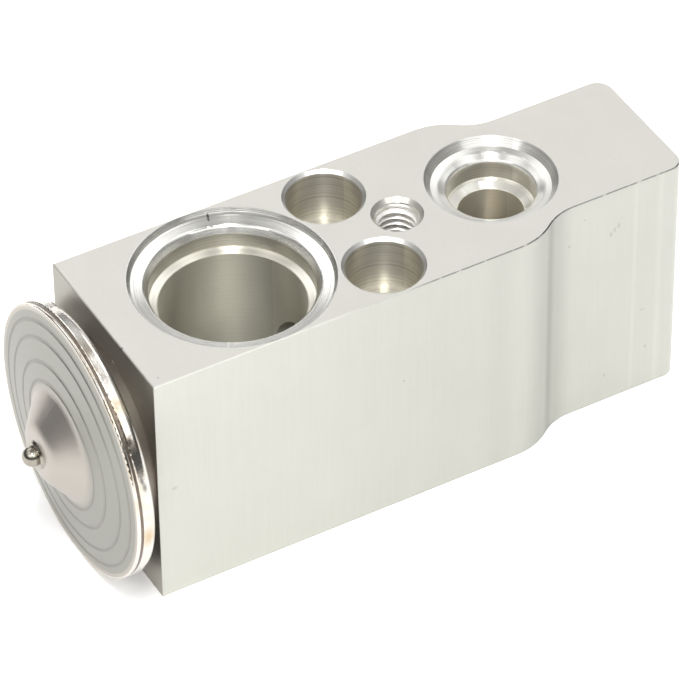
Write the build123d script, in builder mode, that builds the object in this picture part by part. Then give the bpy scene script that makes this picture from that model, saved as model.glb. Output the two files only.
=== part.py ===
from build123d import *
import math
import os

# Block-type thermostatic expansion valve, in millimetres.
# The origin is the middle of the two bolt holes, on the evaporator face that the valve stands on.
# +X runs along the block from the power head to the setting screw, +Z up to the pipe face.

# Extruded block
block_length = 82.2
block_width = 28.0
block_height = 37.2
bolts_to_head_end = 37.25
bolts_to_shoulder = 17.15
neck_width = 21.0
shoulder_radius = 9.3
waist_radius = 7.35
far_corner_radius = 2.3
edge_break = 0.15
overcut = 1.0

# Suction passage, straight through the block
suction_to_bolts = 18.2
suction_rim_d = 27.6
suction_seal_d = 26.7
suction_rim_depth = 0.8
suction_land_d = 23.2
suction_land_depth = 1.1
suction_pocket_d = 22.0
suction_pocket_top = 2.2
suction_pocket_depth = 4.3
suction_throat_depth = 4.7
suction_bore_d = 19.8

# Liquid port on the pipe face
liquid_to_bolts = 21.0
liquid_rim_d = 18.0
liquid_seal_d = 16.2
liquid_rim_depth = 1.15
liquid_land_d = 14.3
liquid_land_depth = 1.25
liquid_pocket_d = 11.9
liquid_pocket_top = 2.0
liquid_pocket_depth = 4.75
liquid_bore_d = 9.0
drill_point_angle = 118.0

# Ports on the evaporator face
outlet_to_bolts = 9.25
outlet_bore_d = 7.0
outlet_pocket_d = 12.6
outlet_pocket_depth = 7.0
evaporator_pocket_d = 22.4
evaporator_pocket_depth = 5.0
port_chamfer = 0.6
seat_round = 0.6

# Bolt holes and the thread for the pipe flange
bolt_spacing = 16.0
bolt_hole_d = 6.6
bolt_head_d = 10.4
bolt_head_depth = 7.8
bolt_rim_chamfer = 0.45
flange_thread_to_bolts = 6.6
flange_thread_d = 6.0
flange_thread_depth = 11.0
flange_rim_d = 7.15

# Stem line, on which the head, rod, ball and setting screw lie
stem_height = 19.3

# Clearances between pieces that fit together
fitted_gap = 0.02
running_gap = 0.05
slip_gap = 0.3

# Seal rings, squeezed to an oval in their glands
head_ring = 1.58
rod_ring = 1.58
screw_ring = 1.28
seal_gap = 0.06
seal_spread = 1.4

# Rim of the power head: cover, diaphragm and base, welded round the edge
head_rim_d = 38.3
head_gap = 2.85
base_flange = 2.0
diaphragm_thickness = 0.2
cover_edge = 0.6
cover_round = 0.25
flange_round = 0.9
seam_round = 0.25
clamp_width = 3.25
weld_groove = 0.25
weld_width = 0.12
weld_fill = 0.7

# Cover of the power head
cover_wall = 0.5
face_lip = 0.8
face_rise = 1.3
cone_base_d = 16.2
cone_top_d = 7.3
cone_rise = 3.45
cone_foot_radius = 2.0
cone_brow_radius = 3.0
ring_diameters = (34.4, 29.8, 23.3, 18.0)
ring_groove_radius = 0.5
ring_groove_depth = 0.12

# Charging ball and the collar that its weld leaves
charge_hole_d = 2.0
charge_ball_d = 2.8
ball_proud = 2.1
collar_d = 4.1
collar_top_d = 3.5
collar_height = 0.32

# Base of the power head and its threaded neck
hub_d = 27.0
hub_round = 0.5
neck_thread_d = 22.0
neck_length = 7.5
neck_relief = 1.0
neck_bore_d = 15.0
neck_undercut_d = 21.0
pad_recess_depth = 2.6

# Diaphragm and thrust pad
wave_height = 0.3
pad_d = 23.2
pad_clearance = 0.4
pad_thickness = 1.6
pad_edge_break = 0.3
pad_boss_d = 9.0
pad_boss_length = 4.5

# Rod and pin
rod_d = 5.6
rod_socket_depth = 4.6
rod_nose_length = 5.7
rod_nose_break = 0.4
pin_d = 2.4
pin_tip_break = 0.3
valve_travel = 0.6

# Seal of the rod and its toothed retainer
rod_seal_depth = 5.0
retainer_thickness = 0.4
retainer_teeth = 8
retainer_notch_width = 0.8
retainer_notch_depth = 0.6

# Seat, ball, carrier and springs
orifice_d = 3.6
orifice_length = 1.9
seat_chamfer = 0.5
seat_lift_at_rest = 0.02
ball_d = 5.5
chamber_d = 11.0
carrier_d = 9.4
carrier_lip = 1.2
carrier_edge_break = 0.4
carrier_cup_angle = 120.0
carrier_flange = 2.2
carrier_spigot_d = 5.6
carrier_spigot_length = 2.5
damper_thickness = 0.3
damper_fingers = 6
damper_finger_width = 1.8
damper_finger_length = 5.0
spring_wire_d = 1.2
spring_outer_d = 9.2
spring_turns = 4.5

# Setting screw
screw_bore_d = 12.0
screw_bore_lead = 1.0
screw_thread_d = 14.0
screw_thread_length = 9.8
screw_thread_chamfer = 0.6
screw_recess = 1.45
screw_step_gap = 0.8
screw_nose_to_end = 14.0
screw_spigot_d = 5.6
screw_spigot_length = 2.0
screw_groove_width = 2.3
screw_edge_break = 0.5
screw_socket_flats = 8.0
screw_socket_depth = 5.0

# Places worked out from the sizes above
head_end = -bolts_to_head_end
screw_end = head_end + block_length
suction_x = -suction_to_bolts
pipe_face = block_height
drill_slope = math.tan(math.radians(90 - drill_point_angle / 2))
rod_seal_floor = suction_x + suction_bore_d / 2 + rod_seal_depth
rod_end = rod_seal_floor + rod_nose_length
rod_bore_end = rod_end + valve_travel + slip_gap
seat_x = outlet_to_bolts + outlet_bore_d / 2 + orifice_length
ball_r = ball_d / 2
ball_seated = seat_x - seat_chamfer - orifice_d / 2 + ball_r * math.sqrt(2)
ball_x = ball_seated + seat_lift_at_rest * math.sqrt(2)
screw_nose = screw_end - screw_nose_to_end
thread_start = screw_end - screw_thread_length
screw_step = thread_start + screw_step_gap
screw_back = screw_end - screw_recess
flange_back = head_end - head_gap
base_front = flange_back - base_flange
cover_back = base_front - diaphragm_thickness
cover_front = cover_back - cover_edge
cone_base_x = cover_front - face_rise
cone_tip_x = cone_base_x - cone_rise

# Radii of the head, inwards from its rim
rim_r = head_rim_d / 2
face_r = rim_r - face_lip
clamp_r = rim_r - weld_groove
cavity_r = rim_r - clamp_width
pad_r = pad_d / 2
face_slope = face_rise / (face_r - cone_base_d / 2)

# Glands of the seal rings
seal_land_d = neck_undercut_d + 2 * (head_ring + 2 * seal_gap)
rod_seal_d = rod_d + 2 * (rod_ring + 2 * seal_gap)
screw_groove_d = screw_bore_d - 2 * (screw_ring + 2 * seal_gap)
seal_land_depth = head_ring * seal_spread + 2 * seal_gap
rod_gland_width = rod_ring * seal_spread + 2 * seal_gap

stem_plane = Plane(origin=(0, 0, stem_height), x_dir=(1, 0, 0), z_dir=(0, -1, 0))
stem_axis = Axis((0, 0, stem_height), (1, 0, 0))


def across(x):
    """Plane across the stem line at x, facing the setting screw."""
    return Plane(origin=(x, 0, stem_height), x_dir=(0, 1, 0), z_dir=(1, 0, 0))


def drill_tip(diameter):
    """Height of a drill's point at this diameter."""
    return diameter / 2 * drill_slope


def stepped(points, centre_x):
    """Half section of an upright turned hole, from (radius, depth under the pipe face) pairs."""
    return [(centre_x + radius, pipe_face - depth) for radius, depth in points]


def upright(x):
    """Axis of a hole bored straight down at x."""
    return Axis((x, 0, 0), (0, 0, 1))


def round_seat(section, centre_x, diameter, depth):
    """Rounds a port section's corner at this diameter and depth."""
    corner_point = (centre_x + diameter / 2, pipe_face - depth)
    fillet(section.vertices().sort_by_distance(corner_point)[0], seat_round)


# The block: the extrusion's outline, cut to height
with BuildPart() as valve_body:
    with BuildSketch(Plane.XY):
        neck_step = (block_width - neck_width) / 2
        waist_turn = math.degrees(math.acos(1 - neck_step / (shoulder_radius + waist_radius)))
        with BuildLine():
            side = Line((head_end, 0), (head_end, -block_width / 2))
            flank = Line(side @ 1, (bolts_to_shoulder, -block_width / 2))
            shoulder = JernArc(flank @ 1, flank % 1, shoulder_radius, waist_turn)
            waist = JernArc(shoulder @ 1, shoulder % 1, waist_radius, -waist_turn)
            neck = Line(waist @ 1, (screw_end - far_corner_radius, -neck_width / 2))
            corner = JernArc(neck @ 1, neck % 1, far_corner_radius, 90)
            Line(corner @ 1, (screw_end, 0))
            mirror(about=Plane.XZ)
        make_face()
    extrude(amount=block_height)
    chamfer(valve_body.faces().filter_by(Axis.Z).edges(), edge_break)

    # Suction passage: seal recess, pocket and throat on the pipe face, one bore right through
    with BuildSketch(Plane.XZ) as suction_section:
        with BuildLine():
            Polyline(
                (suction_x, pipe_face + overcut),
                *stepped(
                    [
                        (suction_rim_d / 2, -overcut),
                        (suction_rim_d / 2, 0),
                        (suction_seal_d / 2, suction_rim_depth),
                        (suction_land_d / 2, suction_land_depth),
                        (suction_pocket_d / 2, suction_pocket_top),
                        (suction_pocket_d / 2, suction_pocket_depth),
                        (suction_bore_d / 2, suction_throat_depth),
                    ],
                    suction_x,
                ),
                (suction_x + suction_bore_d / 2, evaporator_pocket_depth),
                (suction_x + evaporator_pocket_d / 2, evaporator_pocket_depth),
                (suction_x + evaporator_pocket_d / 2, port_chamfer),
                (suction_x + evaporator_pocket_d / 2 + port_chamfer, 0),
                (suction_x + evaporator_pocket_d / 2 + port_chamfer, -overcut),
                (suction_x, -overcut),
                close=True,
            )
        make_face()
        round_seat(suction_section, suction_x, suction_land_d, suction_land_depth)
        round_seat(suction_section, suction_x, suction_pocket_d, suction_pocket_top)
    revolve(axis=upright(suction_x), mode=Mode.SUBTRACT)

    # Liquid port: seal recess, pocket with a drill-point floor, feed bore to the ball chamber
    with BuildSketch(Plane.XZ) as liquid_section:
        with BuildLine():
            pocket_step = (liquid_pocket_d - liquid_bore_d) / 2 * drill_slope
            Polyline(
                (liquid_to_bolts, pipe_face + overcut),
                *stepped(
                    [
                        (liquid_rim_d / 2, -overcut),
                        (liquid_rim_d / 2, 0),
                        (liquid_seal_d / 2, liquid_rim_depth),
                        (liquid_land_d / 2, liquid_land_depth),
                        (liquid_pocket_d / 2, liquid_pocket_top),
                        (liquid_pocket_d / 2, liquid_pocket_depth),
                        (liquid_bore_d / 2, liquid_pocket_depth + pocket_step),
                    ],
                    liquid_to_bolts,
                ),
                (liquid_to_bolts + liquid_bore_d / 2, stem_height),
                (liquid_to_bolts, stem_height - drill_tip(liquid_bore_d)),
                close=True,
            )
        make_face()
        round_seat(liquid_section, liquid_to_bolts, liquid_land_d, liquid_land_depth)
        round_seat(liquid_section, liquid_to_bolts, liquid_pocket_d, liquid_pocket_top)
    revolve(axis=upright(liquid_to_bolts), mode=Mode.SUBTRACT)

    # Outlet port on the evaporator face, up to the seat's low-pressure side
    with BuildSketch(Plane.XZ):
        with BuildLine():
            Polyline(
                (outlet_to_bolts, -overcut),
                (outlet_to_bolts + outlet_pocket_d / 2 + port_chamfer, -overcut),
                (outlet_to_bolts + outlet_pocket_d / 2 + port_chamfer, 0),
                (outlet_to_bolts + outlet_pocket_d / 2, port_chamfer),
                (outlet_to_bolts + outlet_pocket_d / 2, outlet_pocket_depth),
                (outlet_to_bolts + outlet_bore_d / 2, outlet_pocket_depth),
                (outlet_to_bolts + outlet_bore_d / 2, stem_height),
                (outlet_to_bolts, stem_height + drill_tip(outlet_bore_d)),
                close=True,
            )
        make_face()
    revolve(axis=upright(outlet_to_bolts), mode=Mode.SUBTRACT)

    # Counterbored bolt holes, with broken rims
    with Locations((0, bolt_spacing / 2, pipe_face), (0, -bolt_spacing / 2, pipe_face)):
        CounterBoreHole(bolt_hole_d / 2, bolt_head_d / 2, bolt_head_depth, depth=block_height)
        Cone(
            bolt_head_d / 2 + bolt_rim_chamfer,
            bolt_head_d / 2,
            bolt_rim_chamfer,
            rotation=(180, 0, 0),
            align=(Align.CENTER, Align.CENTER, Align.MIN),
            mode=Mode.SUBTRACT,
        )

    # Blind hole for the pipe flange's screw, opened to the thread's outer diameter
    with BuildSketch(Plane.XZ):
        with BuildLine():
            rim_drop = (flange_rim_d - flange_thread_d) / 2
            thread_floor = flange_thread_depth + drill_tip(flange_thread_d)
            Polyline(
                (flange_thread_to_bolts, pipe_face + overcut),
                *stepped(
                    [
                        (flange_rim_d / 2, -overcut),
                        (flange_rim_d / 2, 0),
                        (flange_thread_d / 2, rim_drop),
                        (flange_thread_d / 2, flange_thread_depth),
                        (0, thread_floor),
                    ],
                    flange_thread_to_bolts,
                ),
                close=True,
            )
        make_face()
    revolve(axis=upright(flange_thread_to_bolts), mode=Mode.SUBTRACT)

    # Bores on the stem line: head thread, rod seal, rod, pin, orifice, seat and ball chamber
    head_floor = head_end + neck_length + neck_relief
    with BuildSketch(stem_plane):
        with BuildLine():
            Polyline(
                (head_end - overcut, 0),
                (head_end - overcut, seal_land_d / 2),
                (head_end + seal_land_depth, seal_land_d / 2),
                (head_end + seal_land_depth, neck_thread_d / 2 + running_gap),
                (head_floor, neck_thread_d / 2 + running_gap),
                (head_floor, neck_bore_d / 2),
                (suction_x, neck_bore_d / 2),
                (suction_x, rod_seal_d / 2),
                (rod_seal_floor, rod_seal_d / 2),
                (rod_seal_floor, rod_d / 2 + running_gap),
                (rod_bore_end, rod_d / 2 + running_gap),
                (rod_bore_end, pin_d / 2 + running_gap),
                (outlet_to_bolts, pin_d / 2 + running_gap),
                (outlet_to_bolts, orifice_d / 2),
                (seat_x - seat_chamfer, orifice_d / 2),
                (seat_x, orifice_d / 2 + seat_chamfer),
                (seat_x, chamber_d / 2),
                (screw_nose - screw_bore_lead, chamber_d / 2),
                (screw_nose - screw_bore_lead, screw_bore_d / 2),
                (thread_start, screw_bore_d / 2),
                (thread_start, screw_thread_d / 2),
                (screw_end - screw_thread_chamfer, screw_thread_d / 2),
                (screw_end, screw_thread_d / 2 + screw_thread_chamfer),
                (screw_end + overcut, screw_thread_d / 2 + screw_thread_chamfer),
                (screw_end + overcut, 0),
                close=True,
            )
        make_face()
    revolve(axis=stem_axis, mode=Mode.SUBTRACT)
valve_body.part.label = "valve_body"

# Head cover: a stamped shell with a rounded rim, ring beads and a drawn, bell-shaped cone
with BuildPart() as head_cover:
    with BuildSketch(stem_plane) as cover_section:
        foot = (cone_base_x, cone_base_d / 2)
        brow = (cone_tip_x, cone_top_d / 2)
        front_lip = (cover_front, rim_r)
        seam_lip = (cover_back - weld_width, rim_r)
        with BuildLine():
            Polyline(
                (cover_back, clamp_r),
                seam_lip,
                front_lip,
                (cover_front, face_r),
                foot,
                brow,
                (cone_tip_x, charge_hole_d / 2),
                (cone_tip_x + cover_wall, charge_hole_d / 2),
                (cone_tip_x + cover_wall, cone_top_d / 2 - cover_wall / 2),
                (cone_base_x + cover_wall, cone_base_d / 2 - cover_wall / 2),
                (cover_front + cover_wall, cavity_r),
                (cover_back, cavity_r),
                close=True,
            )
        make_face()
        fillet(cover_section.vertices().sort_by_distance(foot)[0], cone_foot_radius)
        fillet(cover_section.vertices().sort_by_distance(brow)[0], cone_brow_radius)
        fillet(cover_section.vertices().sort_by_distance(front_lip)[0], cover_round)
        fillet(cover_section.vertices().sort_by_distance(seam_lip)[0], seam_round)
    revolve(axis=stem_axis)
    for ring_d in ring_diameters:
        ring_x = cover_front - (face_r - ring_d / 2) * face_slope
        with BuildSketch(stem_plane):
            with Locations((ring_x - ring_groove_radius + ring_groove_depth, ring_d / 2)):
                Circle(ring_groove_radius)
        revolve(axis=stem_axis, mode=Mode.SUBTRACT)
head_cover.part.label = "head_cover"

# Charging ball, sunk in the hole by its weld, with the molten collar round it
with BuildPart() as charge_plug:
    plug_r = charge_ball_d / 2
    ball_centre = cone_tip_x - ball_proud + plug_r
    collar_x = cone_tip_x - collar_height
    collar_meets_ball = math.sqrt(plug_r**2 - (collar_x - ball_centre) ** 2)
    with BuildSketch(stem_plane):
        with BuildLine():
            top = (ball_centre - plug_r, 0)
            ThreePointArc(top, (ball_centre, plug_r), (collar_x, collar_meets_ball))
            Polyline(
                (collar_x, collar_meets_ball),
                (collar_x, collar_top_d / 2),
                (cone_tip_x, collar_d / 2),
                (cone_tip_x, charge_hole_d / 2),
                (cone_tip_x + cover_wall / 2, charge_hole_d / 2),
                (cone_tip_x + cover_wall / 2, 0),
                top,
            )
        make_face()
    revolve(axis=stem_axis)
charge_plug.part.label = "charge_plug"

# Base of the head: flange, hub against the block, hollow neck with the thread
with BuildPart() as head_base:
    with BuildSketch(stem_plane) as base_section:
        back_lip = (flange_back, rim_r)
        seam_lip = (base_front + weld_width, rim_r)
        hub_root = (flange_back, hub_d / 2)
        recess_r = pad_r + pad_clearance
        with BuildLine():
            Polyline(
                (base_front, clamp_r),
                seam_lip,
                back_lip,
                hub_root,
                (head_end, hub_d / 2),
                (head_end, neck_undercut_d / 2),
                (head_end + seal_land_depth, neck_undercut_d / 2),
                (head_end + seal_land_depth, neck_thread_d / 2),
                (head_end + neck_length, neck_thread_d / 2),
                (head_end + neck_length, neck_bore_d / 2),
                (base_front + pad_recess_depth, neck_bore_d / 2),
                (base_front + pad_recess_depth, recess_r),
                (base_front, recess_r),
                close=True,
            )
        make_face()
        fillet(base_section.vertices().sort_by_distance(back_lip)[0], flange_round)
        fillet(base_section.vertices().sort_by_distance(seam_lip)[0], seam_round)
        fillet(base_section.vertices().sort_by_distance(hub_root)[0], hub_round)
    revolve(axis=stem_axis)
head_base.part.label = "head_base"

# Weld seam in the groove between cover and base
with BuildPart() as rim_weld:
    with BuildSketch(stem_plane):
        with BuildLine():
            weld_r = clamp_r + weld_groove * weld_fill
            Polyline(
                (cover_back, clamp_r),
                (cover_back - weld_width * weld_fill, weld_r),
                (base_front + weld_width * weld_fill, weld_r),
                (base_front, clamp_r),
                close=True,
            )
        make_face()
    revolve(axis=stem_axis)
rim_weld.part.label = "rim_weld"

# Diaphragm: flat where it is clamped and on the pad, with one corrugation between
with BuildPart() as diaphragm:
    wave_out = cavity_r - running_gap
    wave_in = pad_r + pad_clearance
    wave_middle = (wave_in + wave_out) / 2
    with BuildSketch(stem_plane):
        with BuildLine():
            Line((cover_back, 0), (cover_back, wave_in))
            ThreePointArc(
                (cover_back, wave_in),
                (cover_back - wave_height, wave_middle),
                (cover_back, wave_out),
            )
            Polyline(
                (cover_back, wave_out),
                (cover_back, clamp_r),
                (base_front, clamp_r),
                (base_front, wave_out),
            )
            ThreePointArc(
                (base_front, wave_out),
                (base_front - wave_height, wave_middle),
                (base_front, wave_in),
            )
            Polyline((base_front, wave_in), (base_front, 0), (cover_back, 0))
        make_face()
    revolve(axis=stem_axis)
diaphragm.part.label = "diaphragm"


def ring_seal(x, mean_d, height):
    """Half section of a squeezed seal ring, on the stem plane."""
    with BuildSketch(stem_plane) as section:
        with Locations((x, mean_d / 2)):
            Ellipse(height * seal_spread / 2, height / 2)
    return section.sketch


# Seal between hub and block, in the undercut of the neck
with BuildPart() as head_o_ring:
    add(ring_seal(head_end + seal_land_depth / 2, (neck_undercut_d + seal_land_d) / 2, head_ring))
    revolve(axis=stem_axis)
head_o_ring.part.label = "head_o_ring"

# Thrust pad behind the diaphragm, with the boss that holds the rod
with BuildPart() as thrust_pad:
    pad_back = base_front + pad_thickness
    boss_end = pad_back + pad_boss_length
    rod_start = boss_end - rod_socket_depth
    socket_r = rod_d / 2 + fitted_gap
    with BuildSketch(stem_plane):
        with BuildLine():
            Polyline(
                (base_front, 0),
                (base_front, pad_r - pad_edge_break),
                (base_front + pad_edge_break, pad_r),
                (pad_back - pad_edge_break, pad_r),
                (pad_back, pad_r - pad_edge_break),
                (pad_back, pad_boss_d / 2),
                (boss_end, pad_boss_d / 2),
                (boss_end, socket_r),
                (rod_start, socket_r),
                (rod_start, 0),
                close=True,
            )
        make_face()
    revolve(axis=stem_axis)
thrust_pad.part.label = "thrust_pad"

# Sensing rod across the suction passage, with a turned nose
with BuildPart() as sensing_rod:
    with BuildSketch(across(rod_start)):
        Circle(rod_d / 2)
    extrude(amount=rod_end - rod_start)
    chamfer(sensing_rod.faces().sort_by(Axis.X)[-1].edges(), rod_nose_break)
sensing_rod.part.label = "sensing_rod"

# Pin from the rod to the ball
with BuildPart() as push_pin:
    with BuildSketch(across(rod_end)):
        Circle(pin_d / 2)
    extrude(amount=ball_x - ball_r - rod_end)
    chamfer(push_pin.faces().sort_by(Axis.X)[-1].edges(), pin_tip_break)
push_pin.part.label = "push_pin"

# Rod seal on the floor of its counterbore
with BuildPart() as rod_o_ring:
    add(ring_seal(rod_seal_floor - rod_gland_width / 2, (rod_d + rod_seal_d) / 2, rod_ring))
    revolve(axis=stem_axis)
rod_o_ring.part.label = "rod_o_ring"

# Toothed retainer that bites in the counterbore and keeps clear of the rod
with BuildPart() as seal_retainer:
    with BuildSketch(across(rod_seal_floor - rod_gland_width - retainer_thickness)):
        Circle(rod_seal_d / 2 - fitted_gap)
        Circle(rod_d / 2 + slip_gap, mode=Mode.SUBTRACT)
        with PolarLocations(rod_seal_d / 2, retainer_teeth):
            Rectangle(2 * retainer_notch_depth, retainer_notch_width, mode=Mode.SUBTRACT)
    extrude(amount=retainer_thickness)
seal_retainer.part.label = "seal_retainer"

# Ball, a hair off its seat
with BuildPart() as valve_ball:
    with Locations((ball_x, 0, stem_height)):
        Sphere(ball_r)
valve_ball.part.label = "valve_ball"

# Ball carrier: cup for the ball, flange for the spring, spigot inside it
with BuildPart() as ball_carrier:
    cup_half = math.radians(carrier_cup_angle / 2)
    cup_bottom = ball_x + ball_r / math.sin(cup_half)
    cup_r = carrier_d / 2 - carrier_lip
    cup_lip = cup_bottom - cup_r / math.tan(cup_half)
    carrier_back = cup_bottom + carrier_flange
    spigot_end = carrier_back + carrier_spigot_length
    with BuildSketch(stem_plane):
        with BuildLine():
            Polyline(
                (cup_bottom, 0),
                (cup_lip, cup_r),
                (cup_lip, carrier_d / 2 - carrier_edge_break),
                (cup_lip + carrier_edge_break, carrier_d / 2),
                (carrier_back, carrier_d / 2),
                (carrier_back, carrier_spigot_d / 2),
                (spigot_end - carrier_edge_break, carrier_spigot_d / 2),
                (spigot_end, carrier_spigot_d / 2 - carrier_edge_break),
                (spigot_end, 0),
                close=True,
            )
        make_face()
    revolve(axis=stem_axis)
ball_carrier.part.label = "ball_carrier"

# Damper spring: a washer under the spring with fingers bent forward along the chamber wall
with BuildPart() as damper_spring:
    finger_in = carrier_d / 2 + running_gap
    with BuildSketch(across(carrier_back)):
        Circle(finger_in + damper_thickness)
        Circle(carrier_spigot_d / 2 + running_gap, mode=Mode.SUBTRACT)
    extrude(amount=damper_thickness)
    with BuildSketch(across(carrier_back)):
        with PolarLocations(finger_in, damper_fingers):
            Rectangle(
                damper_thickness,
                damper_finger_width,
                align=(Align.MIN, Align.CENTER),
            )
    extrude(amount=-damper_finger_length)
damper_spring.part.label = "damper_spring"

# Closing spring, from the damper's washer to the screw's nose
with BuildPart() as setting_spring:
    spring_start = carrier_back + damper_thickness + spring_wire_d / 2
    spring_length = screw_nose - spring_wire_d / 2 - spring_start
    with BuildLine():
        coil = Helix(
            pitch=spring_length / spring_turns,
            height=spring_length,
            radius=(spring_outer_d - spring_wire_d) / 2,
            center=(spring_start, 0, stem_height),
            direction=(1, 0, 0),
        )
    with BuildSketch(Plane(origin=coil @ 0, z_dir=coil % 0)):
        Circle(spring_wire_d / 2)
    sweep(path=coil, is_frenet=True)
setting_spring.part.label = "setting_spring"

# Setting screw: nose with spigot and seal groove, threaded head, hexagon socket
with BuildPart() as setting_screw:
    groove_start = (screw_nose + screw_step - screw_groove_width) / 2
    groove_end = groove_start + screw_groove_width
    nose_r = screw_bore_d / 2 - running_gap
    head_r = screw_thread_d / 2 - running_gap
    with BuildSketch(stem_plane):
        with BuildLine():
            Polyline(
                (screw_nose - screw_spigot_length, 0),
                (screw_nose - screw_spigot_length, screw_spigot_d / 2),
                (screw_nose, screw_spigot_d / 2),
                (screw_nose, nose_r),
                (groove_start, nose_r),
                (groove_start, screw_groove_d / 2),
                (groove_end, screw_groove_d / 2),
                (groove_end, nose_r),
                (screw_step, nose_r),
                (screw_step, head_r),
                (screw_back - screw_edge_break, head_r),
                (screw_back, head_r - screw_edge_break),
                (screw_back, 0),
                close=True,
            )
        make_face()
    revolve(axis=stem_axis)
    with BuildSketch(across(screw_back)):
        RegularPolygon(screw_socket_flats / 2, 6, major_radius=False)
    extrude(amount=-screw_socket_depth, mode=Mode.SUBTRACT)
setting_screw.part.label = "setting_screw"

# Seal of the setting screw, in the middle of its groove
with BuildPart() as screw_o_ring:
    ring_x = (groove_start + groove_end) / 2
    add(ring_seal(ring_x, (screw_groove_d + screw_bore_d) / 2, screw_ring))
    revolve(axis=stem_axis)
screw_o_ring.part.label = "screw_o_ring"

os.makedirs("parts", exist_ok=True)
for piece in (
    valve_body,
    head_cover,
    charge_plug,
    rim_weld,
    head_base,
    head_o_ring,
    diaphragm,
    thrust_pad,
    sensing_rod,
    rod_o_ring,
    seal_retainer,
    push_pin,
    valve_ball,
    ball_carrier,
    damper_spring,
    setting_spring,
    setting_screw,
    screw_o_ring,
):
    export_step(piece.part, f"parts/{piece.part.label}.step")
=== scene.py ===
import bmesh
import bpy
import numpy as np
from mathutils import Matrix, Vector


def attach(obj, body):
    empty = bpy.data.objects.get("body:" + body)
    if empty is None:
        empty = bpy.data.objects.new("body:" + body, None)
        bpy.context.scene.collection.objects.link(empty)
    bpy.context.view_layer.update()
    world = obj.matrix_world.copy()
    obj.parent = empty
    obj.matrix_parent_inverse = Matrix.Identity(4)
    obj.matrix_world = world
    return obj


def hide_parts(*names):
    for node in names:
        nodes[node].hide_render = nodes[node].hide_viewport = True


# A block-type expansion valve for a refrigerant circuit: a bored aluminium block, a round steel
# power head screwed into one end, a sprung ball valve inside and its setting screw at the other.
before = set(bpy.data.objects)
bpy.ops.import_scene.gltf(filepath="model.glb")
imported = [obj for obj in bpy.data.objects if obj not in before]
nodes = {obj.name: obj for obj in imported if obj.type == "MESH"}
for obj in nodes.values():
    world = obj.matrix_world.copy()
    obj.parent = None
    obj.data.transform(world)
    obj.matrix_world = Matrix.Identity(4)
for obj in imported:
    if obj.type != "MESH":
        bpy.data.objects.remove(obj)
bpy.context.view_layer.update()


# Valve block
# A length of extruded aluminium bar, sawn, faced on the pipe side and bored from four sides.
# The sides keep the die's fine upright streaks, and every port shows the rings of its tool, which
# throw a fan of light; the cutter left a thin burr along the front edge.


def linear(hex_colour):
    """sRGB hex colour to linear RGBA: c / 12.92 up to 0.04045, above it ((c + 0.055) / 1.055)^2.4."""
    c = np.array([int(hex_colour[i:i + 2], 16) for i in (1, 3, 5)]) / 255
    return (*np.where(c > 0.04045, ((c + 0.055) / 1.055) ** 2.4, c / 12.92), 1.0)


def add_node(owner, kind, settings=None, links=None):
    """Adds a node: settings are its properties or its sockets' values, links feed its sockets. A
    number names a socket by its place. On Mix, 0 is the share of the second of two numbers (2, 3),
    vectors (4, 5) or colours (6, 7), and on Map Range 1 to 2 becomes 3 to 4."""
    node = owner.node_tree.nodes.new(kind)
    for name, value in (settings or {}).items():
        if isinstance(name, str) and hasattr(node, name):
            setattr(node, name, value)
        else:
            node.inputs[name].default_value = value
    for name, source in (links or {}).items():
        owner.node_tree.links.new(source, node.inputs[name])
    return node


def new_finish(name, **values):
    """A material and its shader, with the shader's constant values set by socket name."""
    finish = bpy.data.materials.new(name)
    finish.use_nodes = True
    shader = finish.node_tree.nodes["Principled BSDF"]
    for socket, value in values.items():
        shader.inputs[socket.replace("_", " ")].default_value = value
    return finish, shader


def dress(finish, *names):
    """Gives CAD nodes one finish."""
    for name in names:
        nodes[name].data.materials.clear()
        nodes[name].data.materials.append(finish)


# Machined aluminium: pale, slightly warm where a tool cut it, slightly green on the drawn sides.
# Anisotropy turned by a quarter spreads the light across the tool's marks, as fine grooves do.
block, block_shader = new_finish(
    "machined_aluminium", Metallic=1.0, Anisotropic=0.9, Anisotropic_Rotation=0.25
)
tree = block.node_tree
where = add_node(block, "ShaderNodeTexCoord")
at_mm = add_node(
    block, "ShaderNodeVectorMath", {"operation": "SCALE", "Scale": 1000.0},
    {0: where.outputs["Object"]},
)
place = add_node(block, "ShaderNodeSeparateXYZ", links={0: at_mm.outputs[0]})
facing = add_node(block, "ShaderNodeSeparateXYZ", links={0: where.outputs["Normal"]})
sideways = add_node(block, "ShaderNodeMath", {"operation": "ABSOLUTE"}, {0: facing.outputs["Y"]})
flat = add_node(block, "ShaderNodeMath", {"operation": "LESS_THAN", 1: 0.5}, {0: sideways.outputs[0]})

# Sides drawn upright through the die; the pipe face and the ends are cut across the bar. Each of
# these four starts with the sides' value and the faces' value.
colour = add_node(
    block, "ShaderNodeMix", {"data_type": "RGBA", 6: linear("#D7D7CF"), 7: linear("#EAE8E1")},
    {0: flat.outputs[0]},
).outputs[2]
gloss = add_node(
    block, "ShaderNodeMix", {"data_type": "FLOAT", 2: 0.44, 3: 0.46}, {0: flat.outputs[0]}
).outputs[0]
grain = add_node(
    block, "ShaderNodeMix", {"data_type": "VECTOR", 4: (0, 0, 1), 5: (0, 1, 0)}, {0: flat.outputs[0]}
).outputs[1]
depth = add_node(
    block, "ShaderNodeMix", {"data_type": "FLOAT", 2: 2.0, 3: 4.0}, {0: flat.outputs[0]}
).outputs[0]

# The head's end is sawn; its colour is painted darker and browner than the pipe face, as shade from the
# head's disc.
head_end = -37.2
sawn_end_painted_shade = add_node(
    block, "ShaderNodeMath", {"operation": "LESS_THAN", 1: head_end}, {0: place.outputs["X"]}
)
colour = add_node(
    block, "ShaderNodeMix", {"data_type": "RGBA", 7: linear("#C7C4BB")}, {0: sawn_end_painted_shade.outputs[0], 6: colour}
).outputs[2]

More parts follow.
